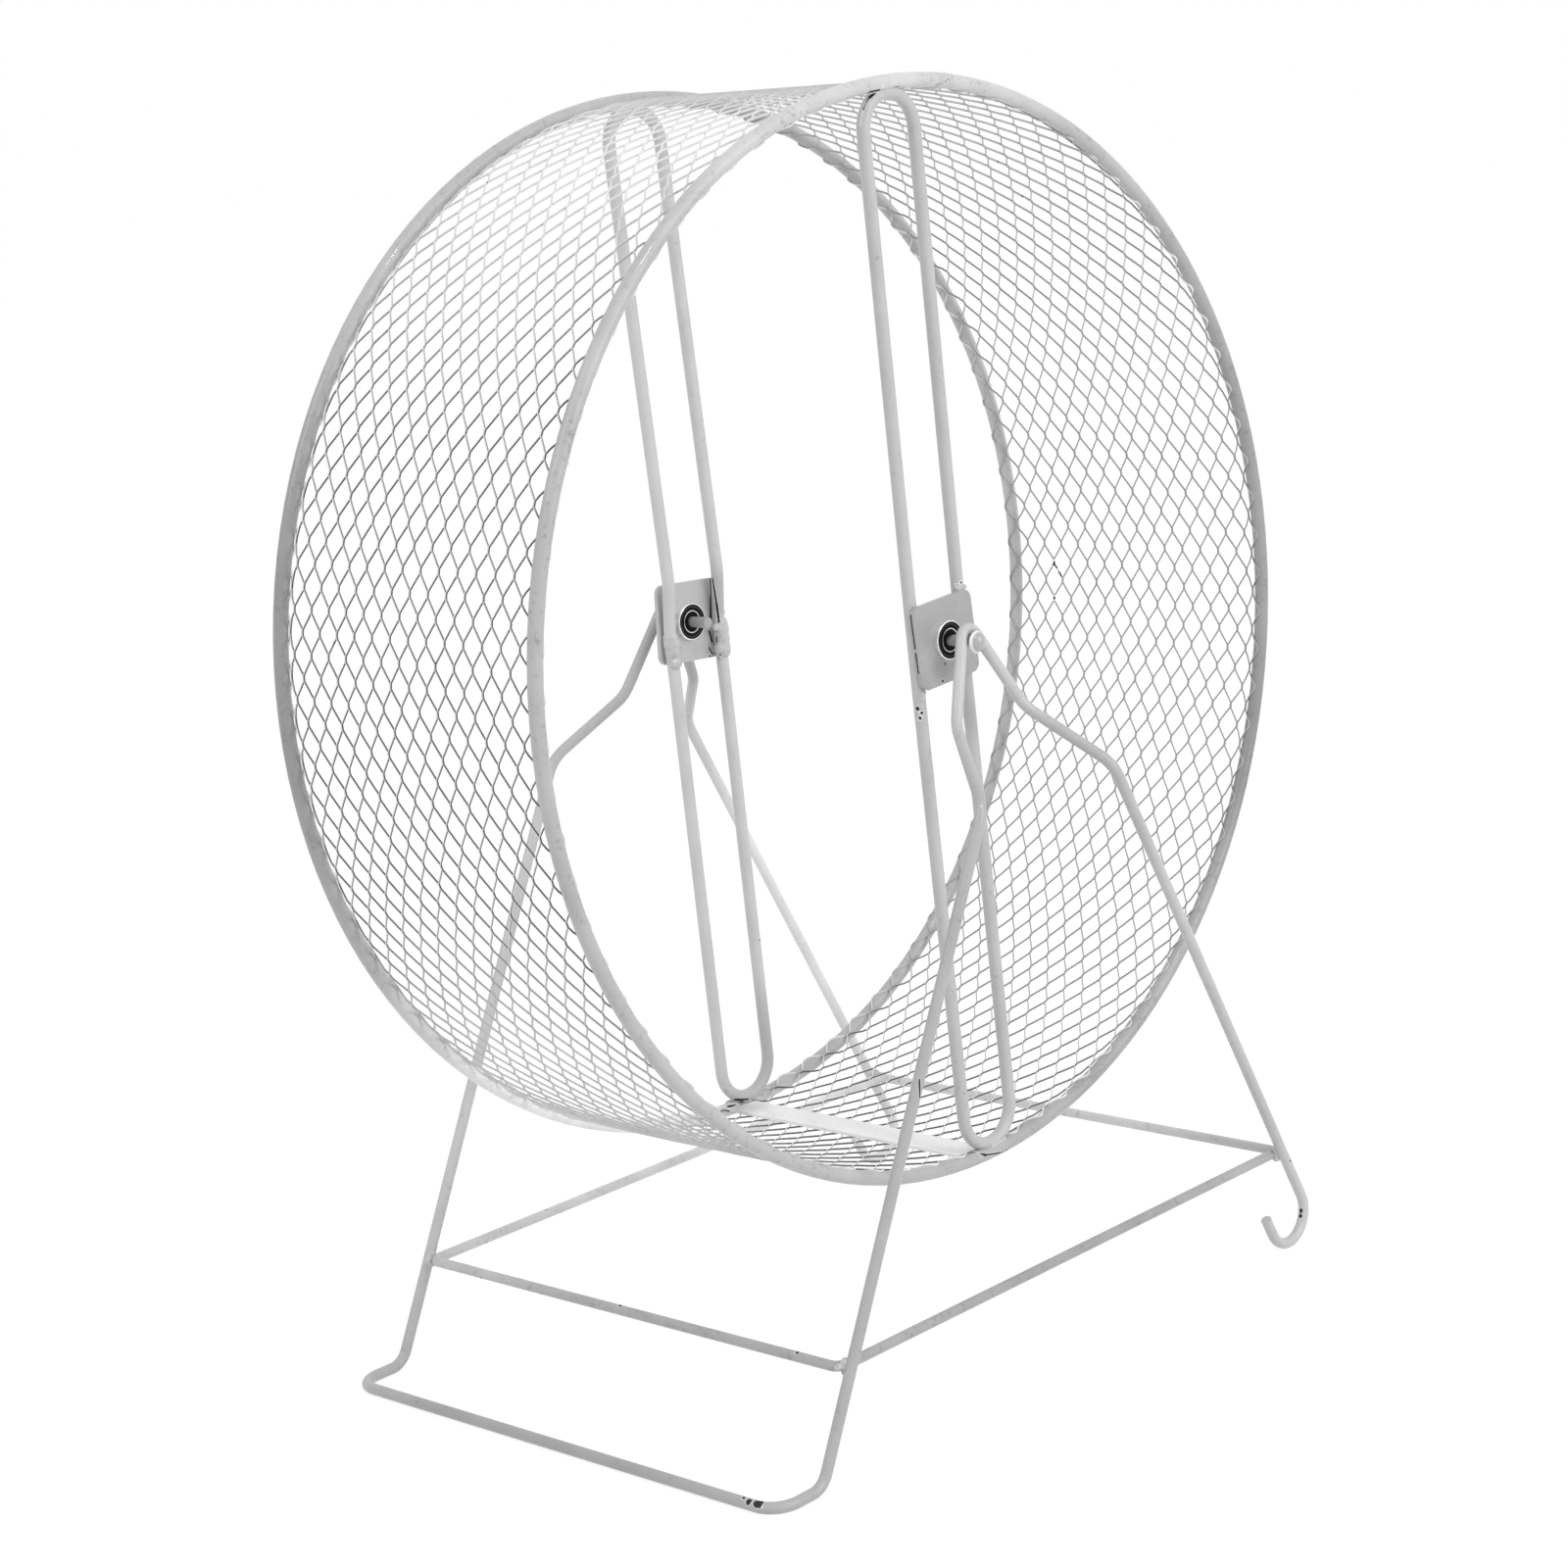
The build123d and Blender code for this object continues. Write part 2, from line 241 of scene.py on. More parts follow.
def coatFinish(name, s):
    material = bpy.data.materials.new(name)
    material.use_nodes = True
    nodes = Nodes(material.node_tree)
    material.node_tree.nodes.clear()
    point = nodes.add("ShaderNodeTexCoord", output="Object")
    drift = nodes.cloud(point, coat["driftSize"], 3)
    grain = nodes.cloud(point, s["peelSize"], 2, 3.0)
    fleck = nodes.cloud(point, coat["fleckSize"], 3, 7.0)
    level = s["tone"]
    if "flankShadeTone" in s:  # painted shade and light on the strands: their side walls are darkened, lighter where they face +X and darkest where they face down, standing in for how light falls on them
        normal = nodes.add("ShaderNodeTexCoord", output="Normal")
        facing = nodes.add("ShaderNodeSeparateXYZ", values={0: normal})
        litSide = (facing * 2.5).clip()
        shadedUnderside = (facing.output("Z") * -4 - coat["undersideShadeFrom"]).clip() * (1 - litSide)
        flankShade = s["flankShadeTone"] + litSide * (s["litFlankTone"] - s["flankShadeTone"])
        flankShade = flankShade + shadedUnderside * (s["undersideShadeTone"] - s["flankShadeTone"])
        level = level + (flankShade - level) * ((abs(facing.output("Y")) - coat["flankFrom"]) * 3.0).clip()
        # strands lapped round the hoops are made near white: partly their thicker coat, partly a painted
        # highlight
        depth = nodes.add("ShaderNodeSeparateXYZ", values={0: point}).output("Y")
        lapped = ((abs(depth) - (wheel["hoopDepth"] - coat["lapWidth"])) / coat["lapFade"]).clip()
        level = level + (s["lapTone"] - level) * lapped
    for place, size, tone in s.get("paintedLightPatches", []):  # painted light and shade: stretches made lighter or darker where light falls on them or shade lies
        away = nodes.vector("DISTANCE", point, place, 1)
        level = level + (tone - level) * (1.6 - away * (1.6 / (size * mm))).clip()
    if "rim" in s:  # painted highlight: a bright ring round the edge of each rivet head
        place, reach = fromAxle(nodes, point)
        highlightRing = ((reach / mm - s["rim"]) * 8).clip() * ((abs(place.output("Y")) / mm - s["rimHighlightFrom"]) * 8).clip()
        level = level + (s["rimHighlightTone"] - level) * highlightRing
    level = level * (1 - s["mottle"] * (1 - ((drift - 0.32) * 2.6).clip()))
    grime = ((fleck - s["grimeLevel"]) * 9).clip() * (drift * -3 + 2.0).clip()
    level = level * (1 - grime * s["grime"] * 0.5)
    ragged = nodes.cloud(point, coat["raggedSize"], 3, 11.0) - 0.5
    bareOrShadow = 0.0
    for start, finish, size in s.get("shadowSeams", []):  # painted shadow: dark lines, drawn as bare steel, in the gaps and crevices between parts, as narrow as size
        depth = size * mm - nodes.away(point, start, finish) + ragged * (size * coat["shadowSeamRagged"] * mm)
        bareOrShadow = (depth / coat["shadowSeamEdge"]).clip().most(bareOrShadow)
        # a painted highlight beside each painted shadow line
        rim = (depth / coat["chipEdge"] + coat["shadowSeamHighlightReach"]).clip()
        level = level + (s["tone"] * coat["shadowSeamHighlight"] - level) * rim
    for place, size in s.get("chips", []):
        depth = size * mm - nodes.away(point, place, place) + ragged * (size * coat["chipRagged"] * mm)
        bareOrShadow = (depth / coat["chipEdge"]).clip().most(bareOrShadow)
        rim = (depth / coat["chipEdge"] + coat["chipRimReach"]).clip()
        level = level + (s["tone"] * coat["chipRim"] - level) * rim
    pits = nodes.add("ShaderNodeTexVoronoi", values={"Vector": point, "Scale": 1 / coat["pitSpacing"]})
    chosen = nodes.add("ShaderNodeSeparateColor", values={0: pits.output("Color")})
    pit = ((coat["pitRadius"] - pits) * 60).clip() * ((chosen - (1 - coat["pitShare"])) * 40).clip()
    bareOrShadow = pit.most(bareOrShadow)
    colour = nodes.add("ShaderNodeCombineColor", values={0: level, 1: level, 2: level})
    colour = nodes.blend(colour, coat["steel"], bareOrShadow)
    height = grain * s["peel"] + drift * coat["driftHeight"] - bareOrShadow * coat["bareOrShadowDepth"]
    bump = nodes.add("ShaderNodeBump", values={"Strength": 0.55, "Distance": 1.0, "Height": height})
    shader = nodes.add("ShaderNodeBsdfPrincipled", values={
        "Base Color": colour,
        "Roughness": grain * 0.10 + drift * 0.10 + (s["rough"] - 0.10) + bareOrShadow * coat["bareOrShadowRoughness"],
        "Specular IOR Level": 0.35,
        "Normal": bump,
        "Coat Weight": (1 - bareOrShadow) * s.get("gloss", coat["gloss"]),
        "Coat Roughness": 0.08,
    })
    nodes.add("ShaderNodeOutputMaterial", values={"Surface": shader})
    return material


# Finish of the bearing rings: near-black steel with painted highlight rings, drawn as bands of tone about the
# axle
steel = {
    "bearingRadius": 5.0 * mm,  # the bands are shares of it
    "smudgeSize": 1.3 * mm, "smudgeDepth": 0.02 * mm,
    "toolPitch": 0.05 * mm, "toolDepth": 0.002 * mm,
    "oil": (0.012, 0.011, 0.010, 1),
}


def turnedFinish(name, s):
    material = bpy.data.materials.new(name)
    material.use_nodes = True
    nodes = Nodes(material.node_tree)
    material.node_tree.nodes.clear()
    point = nodes.add("ShaderNodeTexCoord", output="Object")
    radius = fromAxle(nodes, point)[1]
    toneAndHighlightBands = nodes.add("ShaderNodeValToRGB", {"stops": s["toneAndHighlightBands"]}, {0: radius / steel["bearingRadius"]})
    smudge = nodes.cloud(point, steel["smudgeSize"], 3)
    marks = (radius / steel["toolPitch"]).sine()
    colour = nodes.blend(toneAndHighlightBands, steel["oil"], ((smudge - 0.5) * 5).clip() * s["smudge"])
    height = marks * steel["toolDepth"] + smudge * steel["smudgeDepth"]
    bump = nodes.add("ShaderNodeBump", values={"Strength": 0.5, "Distance": 1.0, "Height": height})
    shader = nodes.add("ShaderNodeBsdfPrincipled", values={
        "Base Color": colour,
        "Metallic": (toneAndHighlightBands * 4).clip(),
        "Specular IOR Level": 0.05,
        "Roughness": smudge * 0.2 + s["rough"],
        "Normal": bump,
    })
    nodes.add("ShaderNodeOutputMaterial", values={"Surface": shader})
    return material


finishes = {
    "frontCoat": {  # front spoke loop; its tone is set darker than the rear loop's, as painted shade
        "tone": 0.56, "mottle": 0.10, "peel": 0.05 * mm, "peelSize": 0.7 * mm, "rough": 0.34,
        "grime": 0.5, "grimeLevel": 0.60,
        "chips": [
            (onWheel(10.4, -45.3, 114.2), 0.7), (onWheel(-10.9, -44.6, -15.6), 0.7),
            (onWheel(-10.3, -45.3, -16.8), 0.5), (onWheel(-10.7, -44.9, -18.0), 0.5),
            (onWheel(-9.9, -45.6, -13.0), 0.45), (onWheel(9.2, -45.4, 12.9), 0.5),
            (onWheel(8.0, -45.4, 12.4), 0.35),
        ],
        # painted shadow in the gaps where the loop's ends meet the hoop
        "shadowSeams": [
            (onWheel(-6.6, -45.4, 135.0), onWheel(-3.2, -45.8, 136.6), 0.48),
            (onWheel(-9.1, -45.2, 132.3), onWheel(-7.0, -45.3, 134.6), 0.22),
            (onWheel(-10.6, -45.1, 128.6), onWheel(-9.1, -45.2, 132.3), 0.13),
            (onWheel(-6.4, -45.0, -136.2), onWheel(-1.6, -45.4, -137.4), 0.6),
            (onWheel(-1.6, -45.4, -137.2), onWheel(3.4, -45.4, -137.0), 0.28),
        ],
    },
    "rearCoat": {  # rear spoke loop; its tone is set lighter than the front loop's, as painted light
        "tone": 0.66, "mottle": 0.10, "peel": 0.05 * mm, "peelSize": 0.7 * mm, "rough": 0.36,
        "grime": 0.4, "grimeLevel": 0.60,
        # painted shade on the run beside the plate, and darker near the hoop at the bottom
        "paintedLightPatches": [(onWheel(9.3, 43.0, 6.0), 12.0, 0.50), (onWheel(9.3, 44.0, -125.0), 20.0, 0.56)],
        "chips": [
            (onWheel(11.0, 43.6, 1.4), 0.6), (onWheel(8.6, 43.4, -13.2), 0.5),
            (onWheel(-6.9, 44.0, -14.2), 0.4),
        ],
        # painted shadow along the gap between the run and the plate, and where the loop meets the hoop
        "shadowSeams": [
            (onWheel(7.6, 42.4, 10.4), onWheel(7.85, 42.3, 3.4), 0.34),
            (onWheel(7.85, 42.3, 3.4), onWheel(8.15, 42.5, -1.8), 0.42),
            (onWheel(-6.2, 43.6, -135.2), onWheel(0.0, 43.4, -136.9), 0.6),
        ],
    },
    "hoopCoat": {
        "tone": 0.52, "mottle": 0.14, "peel": 0.05 * mm, "peelSize": 0.8 * mm, "rough": 0.34,
        "grime": 0.6, "grimeLevel": 0.56,
        # painted light and shade round the hoops: lighter at the top and low on the rear hoop, darker at the
        # sides
        "paintedLightPatches": [
            (onWheel(-6.0, -45.3, 138.0), 85.0, 0.70), (onWheel(138.0, -45.3, -20.0), 130.0, 0.31),
            (onWheel(60.0, -45.3, -124.0), 70.0, 0.44), (onWheel(-90.0, -45.3, -104.0), 60.0, 0.58),
            (onWheel(-138.0, 45.3, 22.0), 82.0, 0.35), (onWheel(-62.0, 45.3, -124.0), 88.0, 1.0),
            (onWheel(136.0, 45.3, 10.0), 110.0, 0.58),
        ],
        "chips": [(onWheel(-3.4, -46.6, 137.2), 0.4), (onWheel(3.6, -46.8, -138.6), 0.5)],
        # painted shadow where the loops and the joint meet the hoops
        "shadowSeams": [
            (onWheel(-7.4, -46.3, 136.2), onWheel(-4.0, -46.3, 136.4), 0.45),
            (onWheel(-6.4, 43.7, -136.0), onWheel(0.0, 43.6, -137.2), 0.5),
            (onWheel(-4.4, -46.4, 136.9), onWheel(3.0, -46.5, 136.6), 0.2),
            (onWheel(-9.2, -45.0, -135.8), onWheel(-5.0, -47.1, -137.3), 0.45),
            (onWheel(-5.0, -47.1, -137.3), onWheel(1.0, -47.1, -138.7), 0.26),
            (onWheel(1.0, -47.1, -138.7), onWheel(4.4, -46.6, -139.4), 0.18),
            (onWheel(-9.0, 44.0, -136.3), onWheel(-6.4, 43.7, -136.8), 0.36),
            (onWheel(15.4, -46.6, 135.5), onWheel(19.0, -47.1, 136.0), 0.16),
            (onWheel(19.0, -47.1, 136.0), onWheel(21.4, -47.2, 136.8), 0.16),
            (onWheel(21.4, -47.2, 136.8), onWheel(28.0, -47.2, 135.7), 0.13),
        ],
    },
    "frontPlateCoat": {
        # tone set darker than the rear plate's, as painted shade
        "tone": 0.43, "mottle": 0.10, "peel": 0.03 * mm, "peelSize": 1.0 * mm, "rough": 0.30,
        "grime": 0.4, "grimeLevel": 0.60,
        # painted light on the plate's lower left and a painted dark reflection beside it
        "paintedLightPatches": [(onWheel(-6.4, -46.9, -5.4), 6.0, 0.50), (onWheel(-3.2, -46.9, -7.2), 4.5, 0.36)],
        "chips": [(onWheel(-3.05, -46.9, -10.0), 0.5)],
        # painted shadow in the gap between the plate's edge and the wire
        "shadowSeams": [
            (onWheel(-11.64, -46.1, 9.2), onWheel(-11.22, -46.1, 0.0), 0.3),
            (onWheel(-11.15, -46.1, -1.2), onWheel(-10.89, -46.1, -6.4), 0.3),
        ],
    },
    "rearPlateCoat": {
        # tone set lighter than the front plate's, as painted light
        "tone": 0.56, "mottle": 0.08, "peel": 0.03 * mm, "peelSize": 1.0 * mm, "rough": 0.32,
        "grime": 0.4, "grimeLevel": 0.60,
        "chips": [(onWheel(-5.8, 45.7, 0.3), 0.35), (onWheel(6.4, 45.7, -11.0), 0.4)],
        # painted shadow in the gap between the plate and the runs
        "shadowSeams": [
            (onWheel(10.0, 45.7, 10.6), onWheel(9.4, 45.7, 5.0), 0.3),
            (onWheel(9.4, 45.7, 5.0), onWheel(8.2, 45.7, -2.0), 0.5),
            (onWheel(7.2, 45.7, -4.2), onWheel(7.8, 45.7, -7.2), 0.4),
            (onWheel(6.4, 45.7, -8.6), onWheel(7.4, 45.7, -10.6), 0.3),
            (onWheel(-4.6, 45.7, -5.2), onWheel(-4.2, 45.7, -6.6), 0.14),
        ],
    },
    "weldCoat": {
        "tone": 0.60, "mottle": 0.12, "peel": 0.06 * mm, "peelSize": 0.6 * mm, "rough": 0.32,
        "grime": 0.7, "grimeLevel": 0.55,
        "chips": [
            (onWheel(-10.4, 42.0, -8.4), 0.3), (onWheel(8.4, 42.4, -13.0), 0.35),
            (onWheel(9.9, 42.4, -12.2), 0.3), (onWheel(4.3, 43.4, -137.0), 0.35),
        ],
        # painted shadow in the gap beside the weld
        "shadowSeams": [
            (onWheel(7.6, 43.7, -4.4), onWheel(7.65, 43.6, -7.2), 0.34),
            (onWheel(7.6, 43.0, -9.6), onWheel(7.6, 42.9, -11.2), 0.26),
        ],
    },
    "standCoat": {
        "tone": 0.47, "mottle": 0.12, "peel": 0.05 * mm, "peelSize": 0.7 * mm, "rough": 0.32,
        "grime": 0.5, "grimeLevel": 0.60,
        # painted light and shade along the legs: the rear legs lighter, the foot darker
        "paintedLightPatches": [
            (onStand(-60, 77, 90), 130.0, 0.61), (onStand(-118, 5, 2), 84.0, 0.42),
            (onStand(62, 77, 90), 95.0, 0.88), (onStand(95, 77, 16), 45.0, 0.80),
            (onStand(98, -77, 10), 42.0, 0.60), (onStand(58, -77, 95), 80.0, 0.59),
            (onStand(0, -58, 180), 34.0, 0.60),
        ],
        "chips": [
            (onStand(-119.0, -71.9, 3.0), 1.4), (onStand(-119.4, -69.0, 2.8), 0.9),
            (onStand(-118.8, -66.8, 3.0), 0.6), (onStand(95.4, -77.6, 8.8), 0.9),
            (onStand(95.8, -77.6, 7.2), 0.6), (onStand(-22.4, 60.6, 172.0), 0.7),
        ],
        # painted shadow line on a front leg
        "shadowSeams": [(onStand(-58.0, -78.6, 91.6), onStand(-58.8, -78.8, 87.4), 0.3)],
    },
    "baseCoat": {
        "tone": 0.45, "mottle": 0.14, "peel": 0.05 * mm, "peelSize": 0.7 * mm, "rough": 0.34,
        "grime": 0.7, "grimeLevel": 0.56,
        # painted light and shade along the base wire: darker at the front, lighter at the right and rear
        "paintedLightPatches": [
            (onStand(0, -76, 28), 62.0, 0.40), (onStand(90, 12, 28), 92.0, 0.74),
            (onStand(-38, 75, 28), 80.0, 0.72), (onStand(45, 75, 28), 70.0, 0.88),
        ],
        "chips": [
            (onStand(-90.6, 1.2, 28.9), 0.6), (onStand(-90.8, -61.1, 28.9), 0.6),
            (onStand(83.4, -74.0, 28.6), 0.5),
        ],
    },
    "stripCoat": {
        # painted light: tone made near white where the strip is brightly lit
        "tone": 0.98, "mottle": 0.05, "peel": 0.05 * mm, "peelSize": 0.9 * mm, "rough": 0.35,
        "grime": 0.3, "grimeLevel": 0.58,
        # painted shade at the strip's ends
        "paintedLightPatches": [(onStand(-4, 38, 51), 7.0, 0.66), (onStand(-10, -13, 51), 5.0, 0.74)],
        # painted shadow in the crevice under the rear loop's bottom
        "shadowSeams": [(onWheel(-6.0, 42.2, -136.4), onWheel(-0.8, 41.3, -136.7), 0.42)],
    },
    "pinCoat": {
        "tone": 0.44, "mottle": 0.08, "peel": 0.03 * mm, "peelSize": 0.8 * mm, "rough": 0.16,
        # the rim values paint a highlight ring round the rivet head
        "grime": 0.3, "grimeLevel": 0.60, "gloss": 0.9, "rim": 2.45, "rimHighlightFrom": 56.9, "rimHighlightTone": 0.92,
        # painted shade on the pin shanks: darker beside the bearings, near black in the shadow by the front
        # bearing and round the rear stub's base
        "paintedLightPatches": [
            (onStand(0, -50.0, 187.2), 6.0, 0.36), (onStand(0, -48.0, 188.4), 2.4, 0.02),
            (onStand(0, 41.0, 187.2), 9.0, 0.40), (onStand(0, 45.4, 187.2), 2.6, 0.04),
        ],
    },
    "meshCoat": {
        "tone": 0.84, "flankShadeTone": 0.11, "litFlankTone": 0.50, "undersideShadeTone": 0.10, "lapTone": 0.95,
        "mottle": 0.12,
        "peel": 0.04 * mm, "peelSize": 0.5 * mm, "rough": 0.42, "grime": 0.5, "grimeLevel": 0.58,
        # painted light and shade across the tread
        "paintedLightPatches": [
            (onWheel(-66.0, 46.0, -121.0), 60.0, 0.9), (onWheel(-92.0, 0.0, -102.0), 78.0, 0.55),
            (onWheel(-34.0, 0.0, 134.0), 105.0, 0.86), (onWheel(50.0, 0.0, 128.0), 90.0, 0.45),
            (onWheel(137.0, 0.0, -10.0), 105.0, 0.40), (onWheel(104.0, 0.0, -90.0), 88.0, 0.40),
        ],
        "chips": [
            (onStand(137.8, 29.9, 180.6), 1.3), (onStand(137.6, 28.2, 177.8), 1.1),
            (onStand(137.0, 30.7, 170.8), 0.7),
        ],
    },
}
coats = {name: coatFinish(name, s) for name, s in finishes.items()}

turnings = {
    # the bright rings in these bands are painted highlights
    "outerRace": {"rough": 0.2, "smudge": 0.2, "toneAndHighlightBands": [
        (0.0, 0.008), (0.93, 0.008), (0.945, 0.9), (1.0, 0.95),
    ]},
    "innerRace": {"rough": 0.2, "smudge": 0.2, "toneAndHighlightBands": [(0.0, 0.008), (1.0, 0.008)]},
    "shieldSteel": {"rough": 0.26, "smudge": 0.2, "toneAndHighlightBands": [
        (0.0, 0.008), (0.545, 0.008), (0.56, 0.95), (0.60, 0.95), (0.615, 0.008),
        (0.80, 0.008), (0.82, 0.16), (0.84, 0.008),
    ]},
    "cageSteel": {"rough": 0.34, "smudge": 0.2, "toneAndHighlightBands": [(0.0, 0.30), (1.0, 0.34)]},
    "ballSteel": {"rough": 0.08, "smudge": 0.1, "toneAndHighlightBands": [(0.0, 0.62), (1.0, 0.66)]},
}
turned = {name: turnedFinish(name, s) for name, s in turnings.items()}

nodeFinishes = {
    "stand_wire": coats["standCoat"], "base_wire": coats["baseCoat"], "tread_seam_strip": coats["stripCoat"],
    "tread_mesh": coats["meshCoat"],
}
for side in ("front", "rear"):
    nodeFinishes[side + "_ring"] = coats["hoopCoat"]
    nodeFinishes[side + "_spoke_loop"] = coats[side + "Coat"]
    nodeFinishes[side + "_hub_plate"] = coats[side + "PlateCoat"]
    nodeFinishes[side + "_axle_pin"] = coats["pinCoat"]
    nodeFinishes[side + "_bearing_outer_ring"] = turned["outerRace"]
    nodeFinishes[side + "_bearing_inner_ring"] = turned["innerRace"]
    nodeFinishes[side + "_bearing_outer_shield"] = turned["shieldSteel"]
    nodeFinishes[side + "_bearing_inner_shield"] = turned["shieldSteel"]
    nodeFinishes[side + "_bearing_cage"] = turned["cageSteel"]
    nodeFinishes[side + "_bearing_balls"] = turned["ballSteel"]
for name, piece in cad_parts.items():
    for slot in piece.material_slots:
        slot.material = nodeFinishes[name]
print("finishes made:", len(coats) + len(turned))


# Geometry trees give a plain mesh through this
def growMesh(name, group, values):
    holder = bpy.data.objects.new(name, bpy.data.meshes.new(name + "Start"))
    bpy.context.collection.objects.link(holder)
    modifier = holder.modifiers.new("grow", "NODES")
    modifier.node_group = group
    for item in group.interface.items_tree:
        if item.item_type == "SOCKET" and item.in_out == "INPUT" and item.name in values:
            modifier[item.identifier] = values[item.name]
    grown = bpy.data.meshes.new_from_object(holder.evaluated_get(bpy.context.evaluated_depsgraph_get()))
    holder.modifiers.clear()
    start, holder.data = holder.data, grown
    bpy.data.meshes.remove(start)
    grown.name = name
    tidyMesh(grown)
    return holder


def tidyMesh(mesh):
    work = bmesh.new()
    work.from_mesh(mesh)
    bmesh.ops.remove_doubles(work, verts=work.verts, dist=0.002 * mm)
    bmesh.ops.recalc_face_normals(work, faces=work.faces)
    work.to_mesh(mesh)
    work.free()


def newGroup(name, inputs):
    group = bpy.data.node_groups.new(name, "GeometryNodeTree")
    for key, kind in inputs:
        group.interface.new_socket(key, in_out="INPUT", socket_type="NodeSocket" + kind)
    group.interface.new_socket("Mesh", in_out="OUTPUT", socket_type="NodeSocketGeometry")
    nodes = Nodes(group)
    source = nodes.add("NodeGroupInput")
    return group, nodes, {key: source.output(key) for key, kind in inputs}


# Tread of expanded metal: zigzag strands side by side, whose outermost rows wrap round the hoops
treadMesh = {
    "Radius": wheel["hoopRadius"],
    "Interval": 3.212 * mm,  # between two lines of bonds
    "Strand": 0.28 * mm,
    "Thickness": 0.48 * mm,
    "Overlap": 0.12 * mm,  # of two strands at a bond
    "Cells": 79,
    "Rows": 29,
    "Bond": 1.333,  # above 1, how long the strands run together at a bond
    "Wrap": wheel["hoopWire"] + 0.28 * mm,
    "Edge": wheel["hoopDepth"] - 4.4 * mm,  # where the tread starts to dip under a hoop
    "Dip": 4.4 * mm,
    "Uneven": 0.22 * mm,
    "Lean": math.radians(-2),
    "Turn": math.radians(0.33),
    "Seed": 4.0,
    "Height": wheel["axleHeight"],
    "Finish": coats["meshCoat"],
}


def treadTree():
    group, nodes, given = newGroup("expandedMetal", [
        ("Radius", "Float"), ("Interval", "Float"), ("Strand", "Float"), ("Thickness", "Float"),
        ("Overlap", "Float"), ("Cells", "Int"), ("Rows", "Int"), ("Bond", "Float"), ("Wrap", "Float"),
        ("Edge", "Float"), ("Dip", "Float"), ("Uneven", "Float"), ("Lean", "Float"), ("Turn", "Float"),
        ("Seed", "Float"), ("Height", "Float"), ("Finish", "Material"),
    ])
    pointsPerCell = 8
    shakeSize, swellSize = 7 * mm, 45 * mm  # of the small and the slow unevenness
    fade = 8 * mm  # the slow one ends this far before a hoop
    hoop = nodes.add("GeometryNodeCurvePrimitiveCircle", {"mode": "RADIUS"}, {
        "Resolution": given["Cells"] * pointsPerCell, "Radius": given["Radius"],
    })
    rows = nodes.add("GeometryNodeDuplicateElements", {"domain": "SPLINE"}, {
        "Geometry": hoop, "Amount": given["Rows"],
    })
    row = rows.output("Duplicate Index")
    point = nodes.add("GeometryNodeInputPosition")
    place = nodes.add("ShaderNodeSeparateXYZ", values={0: point})
    angle = nodes.add("ShaderNodeMath", {"operation": "ARCTAN2"}, {0: place.output("Y"), 1: place})
    swing = nodes.add("ShaderNodeMath", {"operation": "ARCSINE"}, {
        0: (angle * given["Cells"] + row * math.pi + math.pi / pointsPerCell).cosine(),
    })
    wave = (swing * (2 / math.pi) * given["Bond"]).least(1.0).most(-1.0)
    sweep = (given["Interval"] - given["Strand"] + given["Overlap"]) / 2
    flat = (row - (given["Rows"] - 1) / 2) * given["Interval"] + wave * sweep
    reach = abs(flat)
    slope = nodes.add("ShaderNodeMath", {"operation": "ARCSINE"}, {0: given["Wrap"] / given["Dip"]})
    over = (reach - given["Edge"]).most(0.0)
    straight = over.least(given["Dip"] * slope.cosine())
    bend = slope - (over - straight) / given["Wrap"]
    wrapped = given["Wrap"] * (slope.sine() - bend.sine())
    depth = reach.least(given["Edge"]) + straight * slope.cosine() + wrapped
    inward = straight * slope.sine() + given["Wrap"] * (bend.cosine() - slope.cosine())
    side = nodes.add("ShaderNodeMath", {"operation": "SIGN"}, {0: flat})
    spot = nodes.add("ShaderNodeCombineXYZ", values={0: place, 1: place.output("Y"), 2: flat})
    shake = nodes.cloud(spot, shakeSize, 1.0, given["Seed"]).output("Color")
    swell = nodes.cloud(spot, swellSize, 1.0, given["Seed"])
    free = ((given["Edge"] - reach) / fade).clip()
    stretch = 1 - (inward + (0.5 - swell) * free * given["Uneven"] * 4) / given["Radius"]
    rough = nodes.add("ShaderNodeVectorMath", {"operation": "SCALE"}, {
        0: nodes.vector("SUBTRACT", shake, (0.5, 0.5, 0.5)), "Scale": given["Uneven"],
    })
    moved = nodes.vector("ADD", rough, nodes.add("ShaderNodeCombineXYZ", values={
        0: place * stretch, 1: place.output("Y") * stretch, 2: depth * side,
    }))
    strands = nodes.add("GeometryNodeSetPosition", values={"Geometry": rows, "Position": moved})
    strands = nodes.add("GeometryNodeSetCurveNormal", {"mode": "Z_UP"}, {"Curve": strands})
    strands = nodes.add("GeometryNodeSetCurveTilt", values={"Curve": strands, "Tilt": given["Lean"]})
    section = nodes.add("GeometryNodeCurvePrimitiveQuadrilateral", {"mode": "RECTANGLE"}, {
        "Width": given["Thickness"], "Height": given["Strand"],
    })
    body = nodes.add("GeometryNodeCurveToMesh", values={"Curve": strands, "Profile Curve": section})
    body = nodes.add("GeometryNodeSetShadeSmooth", values={"Geometry": body, "Shade Smooth": False})
    body = nodes.add("GeometryNodeTransform", values={
        "Geometry": body,
        "Translation": nodes.add("ShaderNodeCombineXYZ", values={2: given["Height"]}),
        "Rotation": nodes.add("ShaderNodeCombineXYZ", values={0: -math.pi / 2, 1: given["Turn"]}),
    })
    body = nodes.add("GeometryNodeRealizeInstances", values={"Geometry": body})
    body = nodes.add("GeometryNodeSetMaterial", values={"Geometry": body, "Material": given["Finish"]})
    nodes.add("NodeGroupOutput", values={"Mesh": body})
    return group


tread = growMesh("expandedTread", treadTree(), treadMesh)
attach(tread, "wheel")
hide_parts("tread_mesh")
print("tread:", len(tread.data.polygons), "faces")


